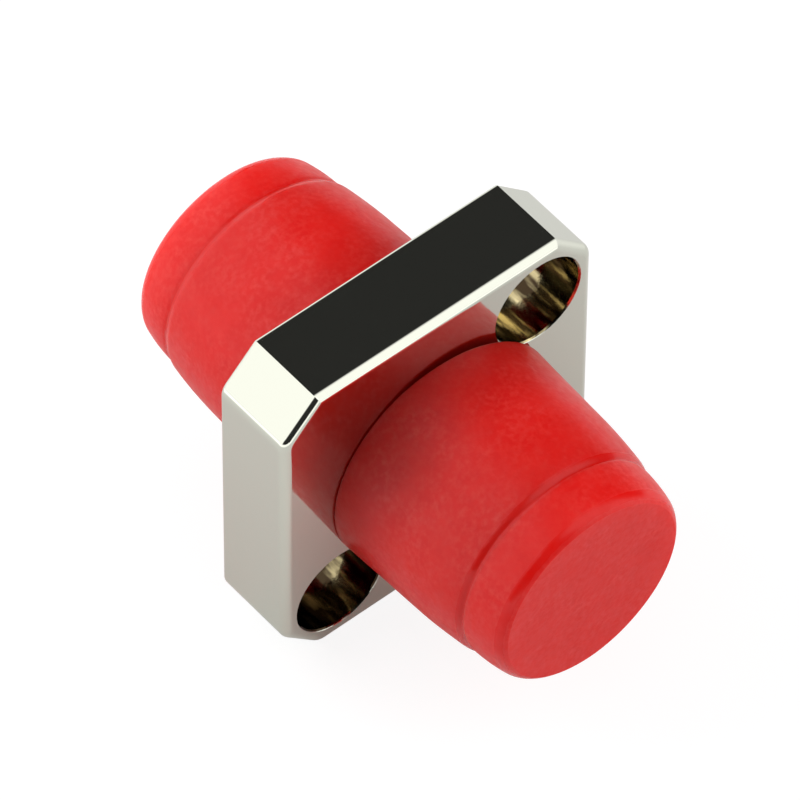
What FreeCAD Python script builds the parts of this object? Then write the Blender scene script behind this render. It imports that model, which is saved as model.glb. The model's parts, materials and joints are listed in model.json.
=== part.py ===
import FreeCAD, Part
import math
import os

# Square fibre coupler: a plated body with a flange and two threaded barrels, a floating split sleeve on the
# optical axis, two pressed-in tubes that hold it between them, and a push-on dust cap over each barrel.
# Millimetres. The optical axis is Y, the front looks to -Y, Z is up and the origin is the flange's centre.

# Optical core, from the axis outwards
ferrule_diameter = 2.5
sleeve_wall = 0.35
sleeve_length = 11.4
sleeve_slit = 0.5
sleeve_play = 0.05
sleeve_float = 0.10
tube_wall = 0.55
lip_play = 0.20
lip_length = 0.40
tube_mouth_chamfer = 0.15

# Pressed-in tubes, one from each side, with a gap between their shanks in the middle of the body
shank_step = 0.30
shank_gap = 0.10

# Threaded barrels
socket_gap = 0.80
barrel_wall = 1.00
barrel_length = 6.30
barrel_chamfer = 0.35
relief_depth = 0.50
relief_length = 0.70
web_thickness = 5.90
keyway_width = 2.20
keyway_depth = 3.60

# Flange
flange_thickness = 3.50
screw_hole_diameter = 3.80
wall_hole_to_barrel = 0.46
wall_hole_to_side = 0.60
wall_hole_to_corner = 0.54
front_edge_round = 0.35
rear_edge_round = 0.18
corner_round = 0.75
hole_edge_break = 0.07

# Dust caps
cap_play = 0.05
cap_wall = 0.73
cap_to_flange = 0.06
cap_mouth_chamfer = 0.10
cap_rim_round = 0.12
cap_seat_width = 0.15
cap_seat_gap = 0.02
skirt_taper = 0.15
shoulder_length = 2.05
shoulder_taper = 0.205
shoulder_bulge = 0.025
notch_before_seat = 0.15
notch_slope_length = 0.22
notch_depth = 0.145
notch_rise = 0.04
notch_rise_length = 0.13
nose_length = 1.24
nose_taper = 0.15
nose_swell = 0.03
nose_lean = 9.0
nose_round = 0.75
nose_round_angle = 58.0
nose_floor_round = 0.30
end_wall = 0.85

# Radii and places that follow from the sizes above
ferrule_radius = ferrule_diameter / 2
sleeve_radius = ferrule_radius + sleeve_wall
cavity_radius = sleeve_radius + sleeve_play
tube_radius = cavity_radius + tube_wall
lip_radius = ferrule_radius + lip_play
shank_radius = tube_radius + shank_step
socket_radius = tube_radius + socket_gap
thread_radius = socket_radius + barrel_wall
relief_radius = thread_radius - relief_depth

flange_face = flange_thickness / 2
barrel_end = flange_face + barrel_length
web_face = web_thickness / 2
cavity_end = (sleeve_length + sleeve_float) / 2
tube_end = cavity_end + lip_length
shank_root = shank_gap / 2

hole_radius = screw_hole_diameter / 2
hole_reach = thread_radius + wall_hole_to_barrel + hole_radius
hole_offset = hole_reach / math.sqrt(2)
flange_half = hole_offset + hole_radius + wall_hole_to_side
corner_reach = hole_reach + hole_radius + wall_hole_to_corner
corner_cut = 2 * flange_half - math.sqrt(2) * corner_reach

cap_rim = flange_face + cap_to_flange
cap_seat = barrel_end + cap_seat_gap
cap_bore_radius = thread_radius + cap_play
rim_radius = cap_bore_radius + cap_wall
nose_bore_radius = thread_radius - barrel_chamfer - cap_seat_width

# Points of a cap's outside, from the skirt to the nose: radius and place along the axis
shoulder_end = (rim_radius - skirt_taper - shoulder_taper, cap_seat - notch_before_seat)
skirt_end = (rim_radius - skirt_taper, shoulder_end[1] - shoulder_length)
notch_bottom = (shoulder_end[0] - notch_depth, shoulder_end[1] + notch_slope_length)
notch_top = (notch_bottom[0] + notch_rise, notch_bottom[1] + notch_rise_length)
nose_tip = (notch_top[0] - nose_taper, notch_top[1] + nose_length)
lean = math.radians(nose_lean)
nose_round_centre = (nose_tip[0] - nose_round * math.cos(lean), nose_tip[1] - nose_round * math.sin(lean))
nose_end = nose_round_centre[1] + nose_round * math.sin(math.radians(nose_round_angle))
nose_floor = nose_end - end_wall

# Overshoot of a cutting solid past the face that it opens, and how near counts as the same place
PAST = 1.0
TOUCH = 0.001

CENTRE = FreeCAD.Vector(0, 0, 0)
AXIS = FreeCAD.Vector(0, 1, 0)
UP = FreeCAD.Vector(0, 0, 1)


def at(point):
    """Point of a turned outline: its radius and its place along the axis."""
    return FreeCAD.Vector(point[0], point[1], 0)


def section(start, *steps):
    """Face inside a closed outline.

    A step is the end point of a straight run, or a pair of points: the middle and the end of an arc.
    """
    edges = []
    here = start
    for step in steps + (start,):
        if isinstance(step[0], tuple):
            middle, end = step
            edges.append(Part.Arc(at(here), at(middle), at(end)).toShape())
        else:
            end = step
            edges.append(Part.LineSegment(at(here), at(end)).toShape())
        here = end
    return Part.Face(Part.Wire(edges))


def turned(start, *steps):
    """Solid turned about the optical axis from half of its section."""
    return section(start, *steps).revolve(CENTRE, AXIS, 360)


def arc_step(centre, radius, first_angle, last_angle):
    """Middle and end points of a round, its angles in degrees from the radius direction towards the rear."""
    points = []
    for degrees in ((first_angle + last_angle) / 2, last_angle):
        angle = math.radians(degrees)
        points.append((centre[0] + radius * math.cos(angle), centre[1] + radius * math.sin(angle)))
    return tuple(points)


def bar(radius, low, high):
    """Plain round bar on the axis between two places."""
    return Part.makeCylinder(radius, high - low, FreeCAD.Vector(0, low, 0), AXIS)


def to_front(shape):
    """The same shape on the front side: turned half round about the vertical."""
    copy = shape.copy()
    copy.rotate(CENTRE, UP, 180)
    return copy


def lies_at(edge, place):
    """Whether an edge's middle is at a place along the axis."""
    return abs(edge.CenterOfMass.y - place) < TOUCH


def flange_block():
    """Block of the flange's thickness with rounded corners. The two upper cuts run on to a peak above it."""
    flat_end = flange_half - corner_cut
    outline = [(0, flange_half + flat_end)]
    outline += [(-flange_half, flat_end), (-flange_half, -flat_end), (-flat_end, -flange_half)]
    outline += [(flat_end, -flange_half), (flange_half, -flat_end), (flange_half, flat_end)]
    corners = [FreeCAD.Vector(x, -flange_face, z) for x, z in outline]
    block = Part.Face(Part.makePolygon(corners + corners[:1])).extrude(AXIS * flange_thickness)
    lower_corners = [edge for edge in block.Edges if lies_at(edge, 0) and edge.CenterOfMass.z < flange_half]
    block = block.makeFillet(corner_round, lower_corners)
    for place, edge_round in ((-flange_face, front_edge_round), (flange_face, rear_edge_round)):
        block = block.makeFillet(edge_round, [edge for edge in block.Edges if lies_at(edge, place)])
    return block


def top_bar():
    """Bar across the flange that ends it at its top side: a wide round in front, a small one behind."""
    reach = corner_reach + PAST
    front = flange_half - front_edge_round, front_edge_round - flange_face
    rear = flange_half - rear_edge_round, flange_face - rear_edge_round
    face = section(
        (-reach, -flange_face),
        (front[0], -flange_face),
        arc_step(front, front_edge_round, -90, 0),
        (flange_half, rear[1]),
        arc_step(rear, rear_edge_round, 0, 90),
        (-reach, flange_face),
    )
    face.translate(UP * -reach)
    block = face.extrude(UP * (2 * reach))
    block.rotate(CENTRE, AXIS, -90)
    return block


def flange_plate():
    """Flange with soft lower corners, and crisp ones where the top side meets the cut corners."""
    return flange_block().common(top_bar())


def screw_holes():
    """Cutters for the two holes on the diagonal, with the edge of each mouth broken."""
    mouth_radius = hole_radius + hole_edge_break + PAST
    wall_end = flange_face - hole_edge_break
    cutter = turned(
        (0, -flange_face - PAST),
        (mouth_radius, -flange_face - PAST),
        (hole_radius, -wall_end),
        (hole_radius, wall_end),
        (mouth_radius, flange_face + PAST),
        (0, flange_face + PAST),
    )
    cutters = []
    for side in (1, -1):
        copy = cutter.copy()
        copy.translate(FreeCAD.Vector(side * hole_offset, 0, side * hole_offset))
        cutters.append(copy)
    return cutters


def barrel_blank():
    """Outside of the rear barrel, still solid: run-out groove at the flange and a chamfered end."""
    return turned(
        (0, 0),
        (relief_radius, 0),
        (relief_radius, flange_face + relief_length),
        (thread_radius, flange_face + relief_length + relief_depth),
        (thread_radius, barrel_end - barrel_chamfer),
        (thread_radius - barrel_chamfer, barrel_end),
        (0, barrel_end),
    )


def keyway():
    """Cutter for the key's slot, through the top of the rear barrel's wall and open at its end."""
    floor = (tube_radius + socket_radius) / 2
    corner = FreeCAD.Vector(-keyway_width / 2, barrel_end - keyway_depth, floor)
    return Part.makeBox(keyway_width, keyway_depth + PAST, thread_radius + PAST - floor, corner)


def sleeve_tube():
    """Rear tube round the sleeve, from its root in the web to its chamfered mouth, still solid."""
    return turned(
        (0, shank_root),
        (tube_radius, shank_root),
        (tube_radius, tube_end - tube_mouth_chamfer),
        (tube_radius - tube_mouth_chamfer, tube_end),
        (0, tube_end),
    )


def sleeve_cavity():
    """Cutter for the sleeve's cavity on the rear side, with the lip that stops the sleeve at its end."""
    return turned(
        (0, 0),
        (cavity_radius, 0),
        (cavity_radius, cavity_end),
        (lip_radius, cavity_end),
        (lip_radius, tube_end - tube_mouth_chamfer),
        (lip_radius + tube_mouth_chamfer + PAST, tube_end + PAST),
        (0, tube_end + PAST),
    )


def housing():
    """Flange, both barrels and the web between their sockets, with a hole through it: all one piece."""
    body = flange_plate().fuse([barrel_blank(), to_front(barrel_blank())])
    socket = bar(socket_radius, web_face, barrel_end + PAST)
    body = body.cut([socket, to_front(socket), keyway(), to_front(keyway())])
    body = body.cut([bar(shank_radius, -web_face, web_face)] + screw_holes())
    return body.removeSplitter()


def sleeve_retainer():
    """Pressed-in rear tube: a thicker shank in the web, and a tube round the sleeve with a lip at its end."""
    blank = sleeve_tube().fuse(bar(shank_radius, shank_root, web_face))
    return blank.cut(sleeve_cavity()).removeSplitter()


def split_sleeve():
    """Slit ceramic tube, lying against the front lip of its cavity."""
    front = -cavity_end
    rear = front + sleeve_length
    tube = bar(sleeve_radius, front, rear).cut(bar(ferrule_radius, front, rear))
    corner = FreeCAD.Vector(-sleeve_slit / 2, front, 0)
    return tube.cut(Part.makeBox(sleeve_slit, sleeve_length, sleeve_radius + PAST, corner))


def bulged(start, end, bulge):
    """Step along a shallow arc that stands out by a bulge in the middle of its run."""
    return ((start[0] + end[0]) / 2 + bulge, (start[1] + end[1]) / 2), end


def dust_cap():
    """Rear cap: tapered skirt with a soft shoulder, a shallow notch, then a short nose with a flat end."""
    rim_centre = (rim_radius - cap_rim_round, cap_rim + cap_rim_round)
    floor_centre = (nose_bore_radius - nose_floor_round, nose_floor - nose_floor_round)
    return turned(
        (0, nose_floor),
        (floor_centre[0], nose_floor),
        arc_step(floor_centre, nose_floor_round, 90, 0),
        (nose_bore_radius, cap_seat),
        (cap_bore_radius, cap_seat),
        (cap_bore_radius, cap_rim + cap_mouth_chamfer),
        (cap_bore_radius + cap_mouth_chamfer, cap_rim),
        (rim_centre[0], cap_rim),
        arc_step(rim_centre, cap_rim_round, -90, 0),
        skirt_end,
        bulged(skirt_end, shoulder_end, shoulder_bulge),
        notch_bottom,
        notch_top,
        bulged(notch_top, nose_tip, nose_swell),
        arc_step(nose_round_centre, nose_round, nose_lean, nose_round_angle),
        (0, nose_end),
    )


parts = {
    "housing": housing(),
    "front_sleeve_retainer": to_front(sleeve_retainer()),
    "rear_sleeve_retainer": sleeve_retainer(),
    "split_sleeve": split_sleeve(),
    "front_dust_cap": to_front(dust_cap()),
    "rear_dust_cap": dust_cap(),
}

os.makedirs("parts", exist_ok=True)
for name, shape in parts.items():
    shape.exportStep(os.path.join("parts", name + ".step"))
    print(name, "solids", len(shape.Solids), "volume %.2f mm3" % shape.Volume, "valid", shape.isValid())
print("flange side %.3f, thread %.3f, overall %.3f" % (2 * flange_half, 2 * thread_radius, 2 * nose_end))
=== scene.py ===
# %% [markdown]
# # A square fibre coupler under its dust caps
#
# The object is a small plated metal coupler: a square flange, a threaded barrel on each side of it, a ceramic
# sleeve on the optical axis, and two soft red caps that keep dust out. The solids come from CAD at their real
# size, so this lesson never moves or scales them. It gives them their finish, cuts the fine thread that the
# solids leave out, turns the caps as even meshes, and sets up a small white light tent round the object.

# %% The frame
import json
import math

import bmesh
import bpy
from mathutils import Matrix, Vector
from mathutils.bvhtree import BVHTree
from mathutils.interpolate import poly_3d_calc


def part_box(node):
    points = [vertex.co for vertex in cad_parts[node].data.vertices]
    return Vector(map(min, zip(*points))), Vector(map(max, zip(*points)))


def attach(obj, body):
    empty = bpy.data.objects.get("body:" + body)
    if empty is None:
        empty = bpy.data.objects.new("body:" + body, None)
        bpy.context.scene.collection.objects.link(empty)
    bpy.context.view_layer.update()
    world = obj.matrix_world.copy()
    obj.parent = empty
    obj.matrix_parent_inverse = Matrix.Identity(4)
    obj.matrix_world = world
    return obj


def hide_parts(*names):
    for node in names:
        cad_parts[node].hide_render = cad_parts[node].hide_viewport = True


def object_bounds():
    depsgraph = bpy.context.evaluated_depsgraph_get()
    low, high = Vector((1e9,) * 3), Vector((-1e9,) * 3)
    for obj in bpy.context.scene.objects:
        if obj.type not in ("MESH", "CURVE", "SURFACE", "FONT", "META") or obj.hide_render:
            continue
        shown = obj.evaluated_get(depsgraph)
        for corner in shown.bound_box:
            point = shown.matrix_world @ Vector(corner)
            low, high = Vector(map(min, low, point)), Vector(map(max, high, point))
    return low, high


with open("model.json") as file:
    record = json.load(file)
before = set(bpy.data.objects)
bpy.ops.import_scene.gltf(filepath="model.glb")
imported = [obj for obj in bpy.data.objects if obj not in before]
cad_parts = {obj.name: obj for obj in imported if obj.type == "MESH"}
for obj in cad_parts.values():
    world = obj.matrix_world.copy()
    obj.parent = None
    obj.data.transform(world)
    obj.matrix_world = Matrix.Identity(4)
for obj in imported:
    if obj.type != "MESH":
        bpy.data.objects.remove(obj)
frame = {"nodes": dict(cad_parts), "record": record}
cad_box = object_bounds()
mm = 0.001
scene = bpy.context.scene
scene.view_settings.view_transform = "Standard"

# %% [markdown]
# ## Nodes in code
#
# Materials, the world and the Geometry Nodes below are all built in code. One helper adds a node and feeds
# it: an input is either a number or the output of another node. A few short ones stand on top of it, for
# sums, mixtures and ranges, so that a finish reads like a recipe.


# %% Node helpers
def add(tree, kind, inputs=None, **settings):
    """One node of a tree. Settings are its menus; an input is a value or another node's output."""
    node = tree.nodes.new(kind)
    for name, value in settings.items():
        setattr(node, name, value)
    for name, value in (inputs or {}).items():
        if isinstance(value, bpy.types.NodeSocket):
            tree.links.new(value, node.inputs[name])
        else:
            node.inputs[name].default_value = value
    return node


# %% Sums, ranges and mixtures
def math_node(tree, operation, *values):
    """Result of one calculation on up to three values."""
    return add(tree, "ShaderNodeMath", dict(enumerate(values)), operation=operation).outputs[0]


def vector_math(tree, operation, *vectors, **others):
    """Result of one calculation on vectors: a number for a length, a distance or a dot product."""
    feeds = {**dict(enumerate(vectors)), **others}
    node = add(tree, "ShaderNodeVectorMath", feeds, operation=operation)
    gives_number = operation in ("LENGTH", "DISTANCE", "DOT_PRODUCT")
    return node.outputs["Value" if gives_number else "Vector"]


def apart(tree, vector):
    """The X, Y and Z of a vector."""
    return add(tree, "ShaderNodeSeparateXYZ", {0: vector}).outputs


def beside_axis(tree, place):
    """A place moved along the optical axis until it is level with the origin."""
    return vector_math(tree, "MULTIPLY", place, (1, 0, 1))


def vary(tree, source, low, high, start=0.3, end=0.7):
    """Runs from low to high while the source runs from start to end."""
    limits = {"Value": source, "From Min": start, "From Max": end, "To Min": low, "To Max": high}
    return add(tree, "ShaderNodeMapRange", limits).outputs["Result"]


def mix(tree, share, first, second, kind="FLOAT"):
    """The first value where the share is nought, the second where it is one."""
    feeds = {"Factor": share, "A": first, "B": second}
    return add(tree, "ShaderNodeMix", feeds, data_type=kind).outputs["Result"]


# %% [markdown]
# ## Helpers for finishes
#
# Every finish below is a Principled shader. What is the same all over the surface sits on the shader's own
# sockets, and only what varies is linked: a colour or roughness that drifts with a noise, and the relief of
# the skin. All patterns read the piece's own coordinates, so that they stay put when a cap is pulled off.


# %% Finish helpers
def new_finish(name, **constants):
    """Material with a Principled shader whose constant sockets are set. Returns it with tree and shader."""
    material = bpy.data.materials.new(name)
    material.use_nodes = True
    shader = material.node_tree.nodes["Principled BSDF"]
    for socket, value in constants.items():
        shader.inputs[socket.replace("_", " ")].default_value = value
    return material, material.node_tree, shader.inputs


def own_place(tree):
    """The piece's own coordinates."""
    return add(tree, "ShaderNodeTexCoord").outputs["Object"]


def noise(tree, per_mm, detail, vector=None):
    """Noise over the piece's own coordinates, with so many patches to a millimetre."""
    feeds = {"Vector": vector or own_place(tree), "Scale": per_mm / mm, "Detail": detail}
    return add(tree, "ShaderNodeTexNoise", feeds).outputs["Fac"]


def two_tones(tree, source, low, low_colour, high, high_colour):
    """Colour that runs from one tone to another as the source runs from low to high."""
    ramp = add(tree, "ShaderNodeValToRGB", {"Fac": source})
    for element, place, colour in zip(ramp.color_ramp.elements, (low, high), (low_colour, high_colour)):
        element.position = place
        element.color = (*colour, 1)
    return ramp.outputs["Color"]


def relief(tree, *layers):
    """Bump nodes in a chain, each from a height pattern and how tall it is. Returns the last normal."""
    feeds = {"Strength": 1.0}
    for height, tall in layers:
        feeds.update({"Height": height, "Distance": tall})
        feeds["Normal"] = add(tree, "ShaderNodeBump", feeds).outputs["Normal"]
    return feeds["Normal"]


# %% [markdown]
# ## Bright nickel
#
# The body is nickel plate: a mirror of a slightly warm grey, reflecting about two thirds of what it sees.
# Plating over a casting is never optically flat, so a faint ripple and a finer grain shake the reflections,
# and the roughness drifts a little. Inside the two screw holes the colour is painted shade and painted
# reflection: the metal runs from dark brown to gold in streaks along the axis, as the walls darken in shade
# and reflect one another in a warm tone, with less gold in the left hole, which lies in the front cap's
# shade. The drill has left it less even there. A painted picture of such patches would have to be fitted to
# each hole, while a noise that is drawn out along the axis fits both. Anything else that shows in the metal
# comes from the tent round it.


# %% Painted shade and reflections in the screw holes
def hole_depth(tree, reach, radius):
    """One inside the two screw holes and on most of their broken edges, nought outside them."""
    # The painted shade and reflection reach a little past the hole's radius, over most of its broken edge.
    painted_to = radius + 0.04 * mm
    plain_from = radius + 0.06 * mm
    flat = beside_axis(tree, own_place(tree))
    gaps = [vector_math(tree, "DISTANCE", flat, (side * reach, 0, side * reach)) for side in (1, -1)]
    return vary(tree, math_node(tree, "MINIMUM", *gaps), low=1, high=0, start=painted_to, end=plain_from)


def hole_shade_and_reflections(tree, shade_brown, reflection_gold):
    """Painted shade and reflection: brown and gold patches along the axis, less gold in the shaded left hole.
    """
    # The left hole lies in the front cap's shade, so it gets less of the painted gold.
    left_hole_shade = -0.10
    right_hole_shade = -0.03
    squeeze = (1, 0.30, 1)
    place = own_place(tree)
    hole_shade = vary(tree, apart(tree, place)["X"], left_hole_shade, right_hole_shade, start=-1 * mm, end=1 * mm)
    streaks = noise(tree, per_mm=1.4, detail=3, vector=vector_math(tree, "MULTIPLY", place, squeeze))
    shade_and_reflection = math_node(tree, "ADD", streaks, hole_shade)
    return two_tones(tree, shade_and_reflection, 0.41, shade_brown, 0.59, reflection_gold)


# %% Nickel plate
def bright_nickel(hole_reach, hole_radius):
    """Bright plate with a faint ripple, with painted shade and reflection in the screw holes."""
    plate = (0.69, 0.70, 0.61, 1)
    # Painted shade and painted reflection for the screw holes: a dark brown and a warm gold.
    shade_brown = (0.05, 0.033, 0.018)
    reflection_gold = (0.68, 0.57, 0.31)
    hole_roughness = 0.03
    ripple_height = 0.0014 * mm
    grain_height = 0.0007 * mm
    tool_mark_height = 0.006 * mm
    material, tree, shader = new_finish("bright_nickel", Metallic=1.0)
    inside = hole_depth(tree, hole_reach, hole_radius)
    # Painted shade and reflection: inside the screw holes the plate colour gives way to brown and gold.
    colour = mix(tree, inside, plate, hole_shade_and_reflections(tree, shade_brown, reflection_gold), kind="RGBA")
    tree.links.new(colour, shader["Base Color"])
    drift = vary(tree, noise(tree, per_mm=0.9, detail=3), low=0.05, high=0.09)
    tree.links.new(math_node(tree, "MULTIPLY_ADD", inside, hole_roughness, drift), shader["Roughness"])
    ripple = noise(tree, per_mm=0.8, detail=1)
    grain = noise(tree, per_mm=3.2, detail=2)
    tool_marks = math_node(tree, "MULTIPLY", inside, noise(tree, per_mm=2.2, detail=3))
    layers = ((ripple, ripple_height), (grain, grain_height), (tool_marks, tool_mark_height))
    tree.links.new(relief(tree, *layers), shader["Normal"])
    return material


screws = next(mount for mount in frame["record"]["mounts"] if mount["name"] == "panel_screws")["dims"]
screw_hole_reach = screws["pcd_mm"] / 2 / math.sqrt(2) * mm
nickel = bright_nickel(screw_hole_reach, screws["hole_r_mm"] * mm)
print("finish", nickel.name, len(nickel.node_tree.nodes), "nodes")

# %% [markdown]
# ## Soft red polythene
#
# The caps are moulded from a soft polythene: a translucent red with a satin skin. Light goes in for about
# a millimetre before it comes out again, so the shader is all subsurface, and red travels much further in it
# than green and blue. The skin isn't even: it has a cloudy bloom where the melt cooled against the mould,
# and finer frosty specks in that. The red is painted deeper towards the rim, as painted shade where the
# flange shades the caps. In the notch and on the round of the nose the mould was smoother, so two narrow
# rings there are clear and glossier than the rest, and a little painted light makes them brighter as well.


# %% Red skin
def ring(tree, along, place):
    """One on a narrow ring at a place along the axis, nought away from it."""
    gap = math_node(tree, "ABSOLUTE", math_node(tree, "SUBTRACT", along, place))
    return vary(tree, gap, low=1, high=0, start=0.08 * mm, end=0.20 * mm)


def frosty_red(tree, bloom, clear):
    """Red that clouds with the bloom, with frosty specks in patches away from the clear rings."""
    deep_red = (0.88, 0.008, 0.006)
    light_red = (0.96, 0.022, 0.018)
    frost = (1.0, 0.07, 0.06, 1)
    clouded = two_tones(tree, bloom, 0.30, deep_red, 0.75, light_red)
    speck = vary(tree, noise(tree, per_mm=4.5, detail=5), low=0, high=0.5, start=0.42, end=0.75)
    patch = vary(tree, noise(tree, per_mm=0.6, detail=2), low=0.3, high=1.7)
    satin = vary(tree, clear, low=1, high=0, start=0, end=1)
    share = math_node(tree, "MULTIPLY", math_node(tree, "MULTIPLY", speck, patch), satin)
    return mix(tree, share, clouded, frost, kind="RGBA")


# %% Red polythene
def red_polythene(notch, nose_edge):
    """Translucent satin red, painted shade towards the rim, painted light on two clear rings along the axis.
    """
    ring_roughness = 0.15
    # Painted light on the two clear rings, as a share of the red.
    ring_painted_light = 0.04
    bloom_height = 0.008 * mm
    grain_height = 0.009 * mm
    material, tree, shader = new_finish(
        "red_polythene",
        Subsurface_Weight=1.0,
        Subsurface_Radius=(1.0, 0.12, 0.08),
        Subsurface_Scale=1.0 * mm,
        IOR=1.51,
        Specular_IOR_Level=0.25,
    )
    along = math_node(tree, "ABSOLUTE", apart(tree, own_place(tree))["Y"])
    clear = math_node(tree, "MAXIMUM", ring(tree, along, notch), ring(tree, along, nose_edge))
    bloom = noise(tree, per_mm=0.9, detail=5)
    # Painted shade: the red is deepened towards the rim, where the flange shades the caps.
    painted_shading = vary(tree, along, low=0.62, high=1.0, start=1.8 * mm, end=5.5 * mm)
    # Painted light: the clear rings are lifted a little, brightening the notch and the nose edge.
    painted_shading = math_node(tree, "MULTIPLY_ADD", clear, ring_painted_light, painted_shading)
    colour = vector_math(tree, "SCALE", frosty_red(tree, bloom, clear), Scale=painted_shading)
    tree.links.new(colour, shader["Base Color"])
    satin = vary(tree, noise(tree, per_mm=2.4, detail=4), low=0.31, high=0.45)
    tree.links.new(mix(tree, clear, satin, ring_roughness), shader["Roughness"])
    grain = noise(tree, per_mm=7, detail=3)
    tree.links.new(relief(tree, (bloom, bloom_height), (grain, grain_height)), shader["Normal"])
    return material


red = red_polythene(notch=8.04 * mm, nose_edge=9.78 * mm)
print("finish", red.name, len(red.node_tree.nodes), "nodes")

# %% [markdown]
# ## Turned brass and white ceramic
#
# Two finishes show only when a cap is off. The pressed-in tubes are bright turned brass: the tool leaves
# rings round the axis, so the grain depends on the place along the axis and the distance from it, and not
# on the angle. The alignment sleeve is polished zirconia, a dense white ceramic with a glassy skin.


# %% Brass and zirconia
def turned_brass():
    """Bright brass with fine rings from the turning tool."""
    ring_height = 0.0008 * mm
    material, tree, shader = new_finish("turned_brass", Base_Color=(0.80, 0.60, 0.30, 1), Metallic=1.0)
    place = own_place(tree)
    from_axis = vector_math(tree, "LENGTH", beside_axis(tree, place))
    unrolled = add(tree, "ShaderNodeCombineXYZ", {"X": from_axis, "Y": apart(tree, place)["Y"]}).outputs[0]
    rings = noise(tree, per_mm=16, detail=2, vector=unrolled)
    tree.links.new(vary(tree, rings, low=0.14, high=0.26), shader["Roughness"])
    tree.links.new(relief(tree, (rings, ring_height)), shader["Normal"])
    return material


def white_zirconia():
    """Polished ceramic, slightly cloudy."""
    cream = (0.84, 0.83, 0.78)
    ivory = (0.90, 0.89, 0.85)
    material, tree, shader = new_finish(
        "zirconia",
        IOR=2.1,
        Subsurface_Weight=0.2,
        Subsurface_Radius=(1.0, 0.9, 0.7),
        Subsurface_Scale=0.2 * mm,
    )
    cloud = two_tones(tree, noise(tree, per_mm=1.2, detail=3), 0.3, cream, 0.7, ivory)
    tree.links.new(cloud, shader["Base Color"])
    polish = vary(tree, noise(tree, per_mm=3, detail=2), low=0.10, high=0.18)
    tree.links.new(polish, shader["Roughness"])
    return material


brass = turned_brass()
inner_finishes = {
    "front_sleeve_retainer": brass,
    "rear_sleeve_retainer": brass,
    "split_sleeve": white_zirconia(),
}
for node, finish in inner_finishes.items():
    slots = frame["nodes"][node].data.materials
    slots.clear()
    slots.append(finish)
    print("finish", finish.name, "on", node)

# %% [markdown]
# ## Geometry Nodes and plain meshes
#
# The thread and the caps follow a rule each, so Geometry Nodes make them. Their trees get a named input for
# every size. Another helper runs a finished tree on an object and keeps the result as a plain mesh, because
# a plain mesh is what can be exported and posed.


# %% Tree and mesh helpers
def geometry_tree(name, **sizes):
    """Empty Geometry Nodes tree with one named input for each size. Returns it with its input and output."""
    tree = bpy.data.node_groups.new(name, "GeometryNodeTree")
    tree.interface.new_socket("Mesh", in_out="INPUT", socket_type="NodeSocketGeometry")
    tree.interface.new_socket("Mesh", in_out="OUTPUT", socket_type="NodeSocketGeometry")
    for label, kind in sizes.items():
        tree.interface.new_socket(label, in_out="INPUT", socket_type="NodeSocket" + kind)
    return tree, tree.nodes.new("NodeGroupInput").outputs, tree.nodes.new("NodeGroupOutput").inputs


def transformed(tree, geometry, **change):
    """Geometry after a translation or a rotation."""
    return add(tree, "GeometryNodeTransform", {"Geometry": geometry, **change}).outputs["Geometry"]


def hand_over(tree, geometry, finish, result):
    """Ends a tree: makes instances real and gives the mesh its finish."""
    real = add(tree, "GeometryNodeRealizeInstances", {"Geometry": geometry}).outputs["Geometry"]
    done = add(tree, "GeometryNodeSetMaterial", {"Geometry": real, "Material": finish})
    tree.links.new(done.outputs["Geometry"], result["Mesh"])


def run_tree(piece, tree, **sizes):
    """Runs the tree on the piece and keeps what it makes as the piece's own mesh."""
    modifier = piece.modifiers.new(tree.name, "NODES")
    modifier.node_group = tree
    for socket in tree.interface.items_tree:
        if socket.in_out == "INPUT" and socket.name in sizes:
            modifier[socket.identifier] = sizes[socket.name]
    result = piece.evaluated_get(bpy.context.evaluated_depsgraph_get())
    mesh = bpy.data.meshes.new_from_object(result)
    piece.modifiers.remove(modifier)
    piece.data = mesh


def new_piece(name, mesh):
    """Object at the origin that shows this mesh."""
    piece = bpy.data.objects.new(name, mesh)
    scene.collection.objects.link(piece)
    return piece


# %% [markdown]
# ## The threaded body
#
# The solid has plain barrels of 8 mm. The real ones carry a fine right-handed thread, 0.75 mm from turn to
# turn, with flanks of 60 degrees. A displaced pattern would only look like a thread from afar, so it is cut:
# a spiral carries the groove's section along, which gives a cutter like a coil spring, and a boolean takes
# the cutter away from the barrel. The groove starts in the run-out at the flange and leaves through the
# chamfered end. Turned half round about the vertical, the same cutter serves the front barrel, and both
# threads stay right-handed.


# %% Thread tree
def groove_cutter(tree, size):
    """Coil with the section of the groove, standing upright at the origin."""
    coil = add(tree, "GeometryNodeCurveSpiral", {
        "Resolution": 96,
        "Rotations": size["Turns"],
        "Start Radius": size["Radius"],
        "End Radius": size["Radius"],
        "Height": size["Rise"],
    }).outputs["Curve"]
    coil = add(tree, "GeometryNodeSetCurveNormal", {"Curve": coil}, mode="Z_UP").outputs["Curve"]
    section = add(tree, "GeometryNodeCurvePrimitiveQuadrilateral", {
        "Height": size["Depth"],
        "Bottom Width": size["Mouth"],
        "Top Width": size["Root"],
        "Offset": 0.0,
    }, mode="TRAPEZOID").outputs["Curve"]
    section = transformed(tree, section, Rotation=(0, 0, math.radians(90)))
    sweep = {"Curve": coil, "Profile Curve": section, "Fill Caps": True}
    return add(tree, "GeometryNodeCurveToMesh", sweep).outputs["Mesh"]


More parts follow.
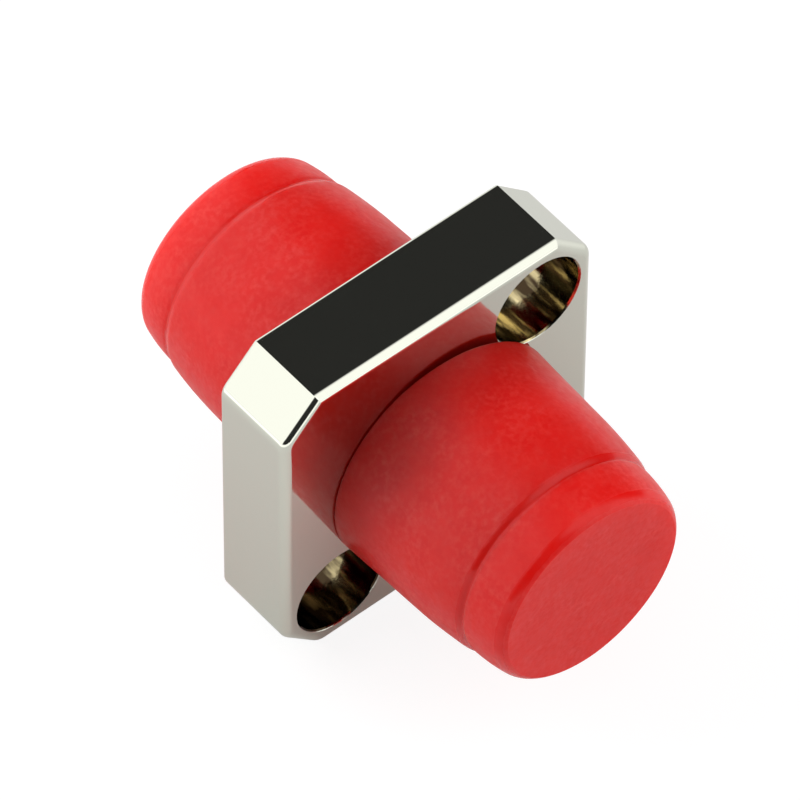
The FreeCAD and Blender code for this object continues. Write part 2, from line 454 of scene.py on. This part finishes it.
def thread_tree():
    """Tree that cuts a thread into both barrels of a body."""
    tree, size, result = geometry_tree(
        "cut_thread",
        Radius="Float",
        Root="Float",
        Depth="Float",
        Mouth="Float",
        Start="Vector",
        Turns="Float",
        Rise="Float",
        Finish="Material",
    )
    lie_down = (math.radians(-90), 0, 0)
    half_round = (0, 0, math.radians(180))
    rear = transformed(tree, groove_cutter(tree, size), Translation=size["Start"], Rotation=lie_down)
    front = transformed(tree, rear, Rotation=half_round)
    body = {"Mesh 1": size["Mesh"]}
    cut = add(tree, "GeometryNodeMeshBoolean", body, operation="DIFFERENCE", solver="MANIFOLD")
    for cutter in (rear, front):
        tree.links.new(cutter, cut.inputs["Mesh 2"])
    hand_over(tree, cut.outputs["Mesh"], size["Finish"], result)
    return tree


# %% [markdown]
# The section follows the standard form of a fine thread: flat crests an eighth of the pitch wide, flat roots
# a quarter of it. The mouth of the cutter stands a little proud of the barrel, but not so far that one turn
# of the cutter would touch the next. The solid's mesh is loose triangles, so a copy of it is merged first.

# %% Close seams
merge_distance = 0.0005 * mm


def seal(mesh, turn_outwards=False):
    """Closes the seams of a mesh, and on request turns all its faces outwards."""
    shell = bmesh.new()
    shell.from_mesh(mesh)
    bmesh.ops.remove_doubles(shell, verts=shell.verts, dist=merge_distance)
    if turn_outwards:
        bmesh.ops.recalc_face_normals(shell, faces=shell.faces)
    open_edges = [edge for edge in shell.edges if not edge.is_manifold]
    print(mesh.name, "faces", len(shell.faces), "open edges", len(open_edges))
    shell.to_mesh(mesh)
    shell.free()


# %% Cut the threads
pitch = 0.75 * mm
thread_radius = 4.0 * mm
crest = pitch / 8
root = pitch / 4
flank = math.tan(math.radians(30))
thread_depth = (pitch - crest - root) / 2 / flank
proud = 0.03 * mm
cutter_depth = thread_depth + proud
runout_place = 2.20 * mm
barrel_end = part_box("housing")[1].y
turns = math.ceil((barrel_end - runout_place) / pitch) + 0.5

housing = new_piece("coupler_housing", frame["nodes"]["housing"].data.copy())
stored_normals = housing.data.attributes.get("custom_normal")
if stored_normals:
    housing.data.attributes.remove(stored_normals)
seal(housing.data)
run_tree(
    housing,
    thread_tree(),
    Radius=thread_radius + proud - cutter_depth / 2,
    Root=root,
    Depth=cutter_depth,
    Mouth=root + 2 * cutter_depth * flank,
    Start=(0, runout_place, 0),
    Turns=turns,
    Rise=turns * pitch,
    Finish=nickel,
)
seal(housing.data)
print("thread", round(thread_depth / mm, 3), "mm deep,", turns, "turns,", len(housing.data.polygons), "faces")

# %% [markdown]
# Shading makes or breaks a mirror: a normal that is off by one degree bends what the flange shows. The
# solid's own normals are exact, but cutting the thread would mix them up, so the copy is cut without them.
# Then each corner of the cut mesh looks for the solid's face that it still lies on and that points the same
# way, and takes the normal of that place. Only the thread's own corners, which find none, keep those of their
# smooth shading.


# %% Normals of the body
def shade(mesh, crisp_from):
    """Smooth shading, with crisp edges above an angle in degrees."""
    mesh.shade_smooth()
    mesh.set_sharp_from_angle(angle=math.radians(crisp_from))


def keep_normals(mesh, solid, within=0.002, alike=0.98):
    """Gives the corners of a cut mesh the solid's normals where they still lie on it, within a gap in mm."""
    places = [vertex.co / mm for vertex in solid.vertices]
    surface = BVHTree.FromPolygons(places, [tuple(face.vertices) for face in solid.polygons])
    normals = [corner.vector.copy() for corner in mesh.corner_normals]
    kept = 0
    for face in mesh.polygons:
        for index in face.loop_indices:
            place = mesh.vertices[mesh.loops[index].vertex_index].co / mm
            near = [solid.polygons[found[2]] for found in surface.find_nearest_range(place, within)]
            best = max(near, key=lambda other: other.normal.dot(face.normal), default=None)
            if best is None or best.normal.dot(face.normal) < alike:
                continue
            shares = poly_3d_calc([places[corner] for corner in best.vertices], place)
            parts = [solid.corner_normals[i].vector * share for i, share in zip(best.loop_indices, shares)]
            normals[index] = sum(parts, Vector()).normalized()
            kept += 1
    mesh.normals_split_custom_set(normals)
    print(mesh.name, "kept", kept, "of", len(normals), "normals")


shade(housing.data, crisp_from=30)
keep_normals(housing.data, frame["nodes"]["housing"].data)
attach(housing, "adapter")
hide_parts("housing")
print("housing", [round(side / mm, 2) for side in housing.dimensions])

# %% [markdown]
# ## The outline of a cap
#
# Each cap is a turned form: a tapered skirt that grips the thread, a soft shoulder, a shallow notch, and
# a short nose with a rounded edge and a flat end. A copy of the solid would do, but its facets are long
# triangles. Turning the outline again gives an even grid that can take the slight unevenness of a soft
# moulding. The outline is a row of points, each a radius and a place along the axis in millimetres, and three
# helpers draw its straight, round and eased stretches. The corners of the notch are eased, because a soft
# moulding has no sharp ones.


# %% Stretches of an outline
def run(first, last, steps, bulge=0.0):
    """Points on the way to a last point, standing out by a bulge half way, without the first point."""
    points = []
    for step in range(1, steps + 1):
        share = step / steps
        radius = first[0] + share * (last[0] - first[0]) + 4 * bulge * share * (1 - share)
        points.append((radius, first[1] + share * (last[1] - first[1])))
    return points


def round_corner(centre, radius, first, last, steps):
    """Points on a round, from a first to a last angle in degrees, without the first point."""
    angles = [math.radians(first + (last - first) * step / steps) for step in range(1, steps + 1)]
    return [(centre[0] + radius * math.cos(angle), centre[1] + radius * math.sin(angle)) for angle in angles]


def eased(corners, steps=5):
    """Straight runs whose inner corners are eased, each over a reach of its own, without the two ends."""
    points = []
    for before, corner, after in zip(corners, corners[1:], corners[2:]):
        middle = Vector(corner[:2])
        reach = corner[2]
        start = middle + (Vector(before[:2]) - middle).normalized() * reach
        end = middle + (Vector(after[:2]) - middle).normalized() * reach
        for step in range(steps + 1):
            share = step / steps
            points.append(tuple(start.lerp(middle, share).lerp(middle.lerp(end, share), share)))
    return points


# %% [markdown]
# The outline runs from the inside of the end along the bore to the rim, and back along the outside to the
# axis. The rim sits a trifle closer to the flange than the solid's, as on a cap that is pushed home.


# %% Inside and outside of a cap
def cap_inside(rim, tip):
    """From the middle of the end's inside along the bore to the foot of the rim."""
    bore = 4.05
    nose_bore = 3.50
    seat = 8.07
    end_wall = 0.85
    floor_round = 0.30
    mouth_chamfer = 0.10
    floor = tip - end_wall
    points = [(0, floor)]
    points += run(points[-1], (nose_bore - floor_round, floor), 8)
    points += round_corner((nose_bore - floor_round, floor - floor_round), floor_round, 90, 0, 12)
    points += [(nose_bore, seat), (bore, seat)]
    points += run(points[-1], (bore, rim + mouth_chamfer), 16)
    return points + [(bore + mouth_chamfer, rim)]


def cap_outside(rim, tip):
    """From the foot of the rim along the skirt, the notch and the nose to the middle of the end."""
    rim_radius = 4.78
    rim_round = 0.05
    skirt_end = (4.63, 5.87)
    shoulder_bulge = 0.025
    nose_tip = (4.17, 9.51)
    nose_swell = 0.03
    nose_lean = 9
    nose_round = 0.75
    round_angle = 58
    # The three corners of the notch have the reach over which they are eased as a third number
    shoulder_end = (4.425, 7.92, 0.16)
    notch_bottom = (4.28, 8.14, 0.07)
    notch_top = (4.32, 8.27, 0.06)
    lean = math.radians(nose_lean)
    round_centre = (nose_tip[0] - nose_round * math.cos(lean), nose_tip[1] - nose_round * math.sin(lean))
    points = [(rim_radius - rim_round, rim)]
    points += round_corner((rim_radius - rim_round, rim + rim_round), rim_round, -90, 0, 12)
    points += run(points[-1], skirt_end, 26)
    points += run(skirt_end, shoulder_end, 16, shoulder_bulge)[:-2]
    nose = run(notch_top, nose_tip, 14, nose_swell)
    points += eased([points[-1], shoulder_end, notch_bottom, notch_top, nose[0]])
    points += nose[1:]
    points += round_corner(round_centre, nose_round, nose_lean, round_angle, 10)
    return points + run(points[-1], (0, tip), 10)


# %% Draw the outline
rim_closer = 0.03
solid_rim, tip_place = (corner.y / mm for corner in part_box("rear_dust_cap"))
rim_place = solid_rim - rim_closer
outline_points = cap_inside(rim_place, tip_place) + cap_outside(rim_place, tip_place)
outline_curve = bpy.data.curves.new("cap_outline", "CURVE")
outline_curve.dimensions = "3D"
spline = outline_curve.splines.new("POLY")
spline.points.add(len(outline_points) - 1)
for point, (radius, place) in zip(spline.points, outline_points):
    point.co = (radius * mm, place * mm, 0, 1)
outline = bpy.data.objects.new("cap_outline", outline_curve)
print("cap outline", len(outline_points), "points")

# %% [markdown]
# ## Turning the caps
#
# In Geometry Nodes a lathe is a circle that carries an outline round. The circle has a radius of its own, so
# the outline is first moved in by that much, and where it meets the axis the doubled points are merged.
# A soft, wide noise then pushes the skin in and out by about a hundredth of a millimetre, as a cooled
# moulding does. Last, the outer edge of the rim can be bent away from the flange on one side.


# %% Turned shell
def turned_shell(tree, outline, steps):
    """Shell that an outline makes when it is turned about the optical axis."""
    rail_radius = 1 * mm
    rail = add(tree, "GeometryNodeCurvePrimitiveCircle", {"Resolution": steps, "Radius": rail_radius})
    level = {"Curve": rail.outputs["Curve"]}
    rail = add(tree, "GeometryNodeSetCurveNormal", level, mode="Z_UP").outputs["Curve"]
    drawn = add(tree, "GeometryNodeObjectInfo", {"Object": outline}).outputs["Geometry"]
    section = transformed(tree, drawn, Translation=(-rail_radius, 0, 0))
    shell = add(tree, "GeometryNodeCurveToMesh", {"Curve": rail, "Profile Curve": section}).outputs["Mesh"]
    doubled = {"Geometry": shell, "Distance": merge_distance}
    shell = add(tree, "GeometryNodeMergeByDistance", doubled).outputs["Geometry"]
    return transformed(tree, shell, Rotation=(math.radians(90), 0, 0))


def moved(tree, shell, way, share):
    """Shell whose points are moved along a way, each by its own share of it."""
    offset = vector_math(tree, "SCALE", way, Scale=share)
    return add(tree, "GeometryNodeSetPosition", {"Geometry": shell, "Offset": offset}).outputs["Geometry"]


# %% Uneven skin and bent rim
def swollen(tree, shell, unevenness):
    """Shell whose skin is pushed in and out by a soft, wide noise."""
    wide = add(tree, "ShaderNodeTexNoise", {"Scale": 0.45 / mm, "Detail": 1.0}).outputs["Fac"]
    swing = vary(tree, wide, low=-1, high=1, start=0, end=1)
    normal = add(tree, "GeometryNodeInputNormal").outputs["Normal"]
    return moved(tree, shell, normal, math_node(tree, "MULTIPLY", swing, unevenness))


def bent(tree, shell, lift):
    """Shell whose rim is lifted at its outer edge, on the right by the whole lift and on the left by none."""
    place = add(tree, "GeometryNodeInputPosition").outputs["Position"]
    part = apart(tree, place)
    along = math_node(tree, "ABSOLUTE", part["Y"])
    from_axis = vector_math(tree, "LENGTH", beside_axis(tree, place))
    to_the_right = vary(tree, part["X"], low=0, high=1, start=-2.5 * mm, end=4.5 * mm)
    near_rim = vary(tree, along, low=1, high=0, start=2 * mm, end=5.5 * mm)
    outside = vary(tree, from_axis, low=0, high=1, start=4.15 * mm, end=4.70 * mm)
    share = math_node(tree, "MULTIPLY", math_node(tree, "MULTIPLY", to_the_right, near_rim), outside)
    return moved(tree, shell, lift, share)


def lathe_tree():
    """Tree that turns an outline into a soft cap."""
    tree, size, result = geometry_tree(
        "turn_outline",
        Outline="Object",
        Steps="Int",
        Unevenness="Float",
        Turn="Rotation",
        Lift="Vector",
        Finish="Material",
    )
    shell = swollen(tree, turned_shell(tree, size["Outline"], size["Steps"]), size["Unevenness"])
    shell = bent(tree, transformed(tree, shell, Rotation=size["Turn"]), size["Lift"])
    hand_over(tree, shell, size["Finish"], result)
    return tree


# %% [markdown]
# The rim of a soft cap seldom sits close all round. The front one lies close to the flange on its left, and
# its outer edge bends away by up to a quarter of a millimetre on its right. The mirror of the flange doubles
# the gap.

# %% Turn the caps
cap_steps = 192
cap_unevenness = 0.012 * mm
front_lift = -0.26 * mm
lathe = lathe_tree()
for side, turn, lift in (("rear", 0.0, 0.0), ("front", math.pi, front_lift)):
    cap = new_piece(side + "_soft_cap", bpy.data.meshes.new(side + "_soft_cap"))
    run_tree(
        cap,
        lathe,
        Outline=outline,
        Steps=cap_steps,
        Unevenness=cap_unevenness,
        Turn=(0, 0, turn),
        Lift=(0, lift, 0),
        Finish=red,
    )
    seal(cap.data, turn_outwards=True)
    shade(cap.data, crisp_from=25)
    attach(cap, side + "_cap")
    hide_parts(side + "_dust_cap")
    print(cap.name, [round(length / mm, 2) for length in cap.dimensions])

# %% [markdown]
# ## Camera
#
# The picture was taken from far away with a long lens, so parallel edges stay nearly parallel. The camera
# looks from the front left and well above, and it stands a little to the side of the object's middle to frame
# it.

# %% Camera
azimuth = math.radians(-40.27)
elevation = math.radians(51.81)
roll = math.radians(0.47)
distance = 344.8 * mm
frame_width = 28.12 * mm
pixel = frame_width / 800
middle_right = 6.5 * pixel
middle_down = 15.6 * pixel

level_right = Vector((math.cos(azimuth), math.sin(azimuth), 0))
ahead = Vector((-math.sin(azimuth), math.cos(azimuth), 0))
back = Vector((0, 0, math.sin(elevation))) - ahead * math.cos(elevation)
level_up = back.cross(level_right)
right = level_right * math.cos(roll) + level_up * math.sin(roll)
up = level_up * math.cos(roll) - level_right * math.sin(roll)

lens = bpy.data.cameras.new("camera")
lens.sensor_width = 36.0
lens.lens = lens.sensor_width * distance / frame_width
lens.clip_start = 10 * mm
lens.clip_end = 10.0
camera = bpy.data.objects.new("camera", lens)
scene.collection.objects.link(camera)
camera.matrix_world = Matrix((right, up, back)).transposed().to_4x4()
camera.location = back * distance - right * middle_right + up * middle_down
scene.camera = camera
print("camera", round(lens.lens, 1), "mm lens")

# %% [markdown]
# ## Floor
#
# The coupler stands on its flange on a plain pale floor. The metal sees the floor as it is lit, with the
# object's shadow on it, and brighter further out, most of all in front, as a floor does that runs on under
# white sheets. The eye is given most of the floor's white as a light of its own, which reaches no other
# surface, and the rest as light that the floor receives, so that a soft shadow stays.


# %% Floor finish
def mirrored(tree, path):
    """One for a ray that the eye sees in metal or through plastic, nought for light on a matt surface."""
    bounced = math_node(tree, "MAXIMUM", path["Is Glossy Ray"], path["Is Transmission Ray"])
    return math_node(tree, "MULTIPLY", bounced, math_node(tree, "LESS_THAN", path["Diffuse Depth"], 0.5))


def pale_floor(backwards):
    """Matt floor with a glow for the eye and, further out, for mirrors."""
    lit_tone = 0.82
    lit_tone_for_eye = 0.20
    glow_for_eye = 0.88
    near_glow = 0.08
    front_glow = 0.85
    rear_glow = 0.30
    material = bpy.data.materials.new("pale_floor")
    material.use_nodes = True
    tree = material.node_tree
    tree.nodes.clear()
    path = add(tree, "ShaderNodeLightPath").outputs
    seen = path["Is Camera Ray"]
    place = own_place(tree)
    behind = vector_math(tree, "DOT_PRODUCT", place, backwards)
    far_glow = vary(tree, behind, front_glow, rear_glow, start=0, end=20 * mm)
    far_glow = vary(tree, vector_math(tree, "LENGTH", place), near_glow, far_glow, start=42 * mm, end=66 * mm)
    mirror_glow = math_node(tree, "MULTIPLY", mirrored(tree, path), far_glow)
    glow = math_node(tree, "MULTIPLY_ADD", seen, glow_for_eye, mirror_glow)
    tone = math_node(tree, "MULTIPLY_ADD", seen, lit_tone_for_eye - lit_tone, lit_tone)
    own = add(tree, "ShaderNodeEmission", {"Strength": glow})
    lit = add(tree, "ShaderNodeBsdfDiffuse", {"Color": tone})
    both = add(tree, "ShaderNodeAddShader", {0: own.outputs[0], 1: lit.outputs[0]})
    add(tree, "ShaderNodeOutputMaterial", {"Surface": both.outputs[0]})
    material.cycles.emission_sampling = "NONE"
    return material


# %% Pale floor
floor_height = cad_box[0].z
floor_half = 1.0
floor_corners = [(-floor_half, -floor_half), (floor_half, -floor_half)]
floor_corners += [(floor_half, floor_half), (-floor_half, floor_half)]
floor_mesh = bpy.data.meshes.new("floor")
floor_mesh.from_pydata([(x, y, floor_height) for x, y in floor_corners], [], [(0, 1, 2, 3)])
floor_mesh.materials.append(pale_floor(ahead))
floor = new_piece("floor", floor_mesh)
print("floor at", round(floor_height / mm, 3), "mm")

# %% [markdown]
# ## Light tent
#
# The object is shown as in a small tent of white sheets. A mirror shows the tent, so its plan matters: white
# sheets stand to the left and to the right, while the way in, which the camera looks through, stays dark, and
# so do the gap between the sheets overhead and the rear of the right side. That turns the flange's top nearly
# black and its corners white. The eye itself sees plain white. Matt surfaces get a soft light from all round
# instead, with more of it from behind and from above than from the front and along the horizon.


# %% Sheets and soft light
def white_sheets(tree, aside, behind):
    """What mirrors see: a sheet on the left and one on the right, dark in front, overhead and far right."""
    white = 1.41
    dark = 0.03
    left = vary(tree, aside, white, dark, start=-0.27, end=-0.17)
    left = math_node(tree, "MULTIPLY", left, vary(tree, behind, low=0, high=1, start=-0.80, end=-0.70))
    right = vary(tree, aside, dark, white, start=0.17, end=0.27)
    right = math_node(tree, "MULTIPLY", right, vary(tree, behind, low=0, high=1, start=-0.65, end=-0.45))
    right = math_node(tree, "MULTIPLY", right, vary(tree, behind, low=1, high=0, start=0.15, end=0.45))
    return math_node(tree, "MAXIMUM", math_node(tree, "MAXIMUM", left, right), dark)


def soft_light(tree, behind, height):
    """What matt surfaces get: light from all round, most of it from behind and above."""
    around = vary(tree, behind, low=0.32, high=0.54, start=-0.6, end=0.6)
    return math_node(tree, "MULTIPLY", around, vary(tree, height, low=0.45, high=1.15, start=0.0, end=0.6))


# %% World
def light_tent(sideways, backwards):
    """World of the tent, with its directions given by the camera's right and its way ahead."""
    world = bpy.data.worlds.new("light_tent")
    world.use_nodes = True
    tree = world.node_tree
    tree.nodes.clear()
    path = add(tree, "ShaderNodeLightPath").outputs
    looking = add(tree, "ShaderNodeTexCoord").outputs["Generated"]
    aside = vector_math(tree, "DOT_PRODUCT", looking, sideways)
    behind = vector_math(tree, "DOT_PRODUCT", looking, backwards)
    around = soft_light(tree, behind, apart(tree, looking)["Z"])
    level = mix(tree, mirrored(tree, path), around, white_sheets(tree, aside, behind))
    level = mix(tree, path["Is Camera Ray"], level, 1.0)
    light = add(tree, "ShaderNodeBackground", {"Color": (1, 1, 1, 1), "Strength": level})
    add(tree, "ShaderNodeOutputWorld", {"Surface": light.outputs[0]})
    world.cycles.sampling_method = "NONE"
    return world


scene.world = light_tent(level_right, ahead)
print("world", scene.world.name, len(scene.world.node_tree.nodes), "nodes")

# %% [markdown]
# ## Two soft lamps
#
# The main light is a large softbox behind on the left: the flange stands in its way, so the front cap is
# shaded where it leaves the flange. A second one in front on the right lifts the end of the front cap.
# Mirrors show neither of the lamps, because what they show is the sheets.


# %% Softboxes
def softbox(name, towards, distance, side, brightness):
    """Square lamp in a direction from the object, facing it, of so bright a surface."""
    lamp = bpy.data.lights.new(name, "AREA")
    lamp.size = side
    lamp.energy = brightness * math.pi * side * side
    holder = bpy.data.objects.new(name, lamp)
    scene.collection.objects.link(holder)
    direction = Vector(towards).normalized()
    holder.location = direction * distance
    holder.rotation_euler = direction.to_track_quat("Z", "Y").to_euler()
    holder.visible_camera = False
    holder.visible_glossy = False
    print(name, "at", [round(x / mm) for x in holder.location], "mm,", round(lamp.energy, 4), "W")


lamp_distance = 150 * mm
softbox("main_softbox", (-0.50, 0.70, 0.50), lamp_distance, side=130 * mm, brightness=2.9)
softbox("front_softbox", (0.66, -0.58, 0.48), lamp_distance, side=100 * mm, brightness=2.7)
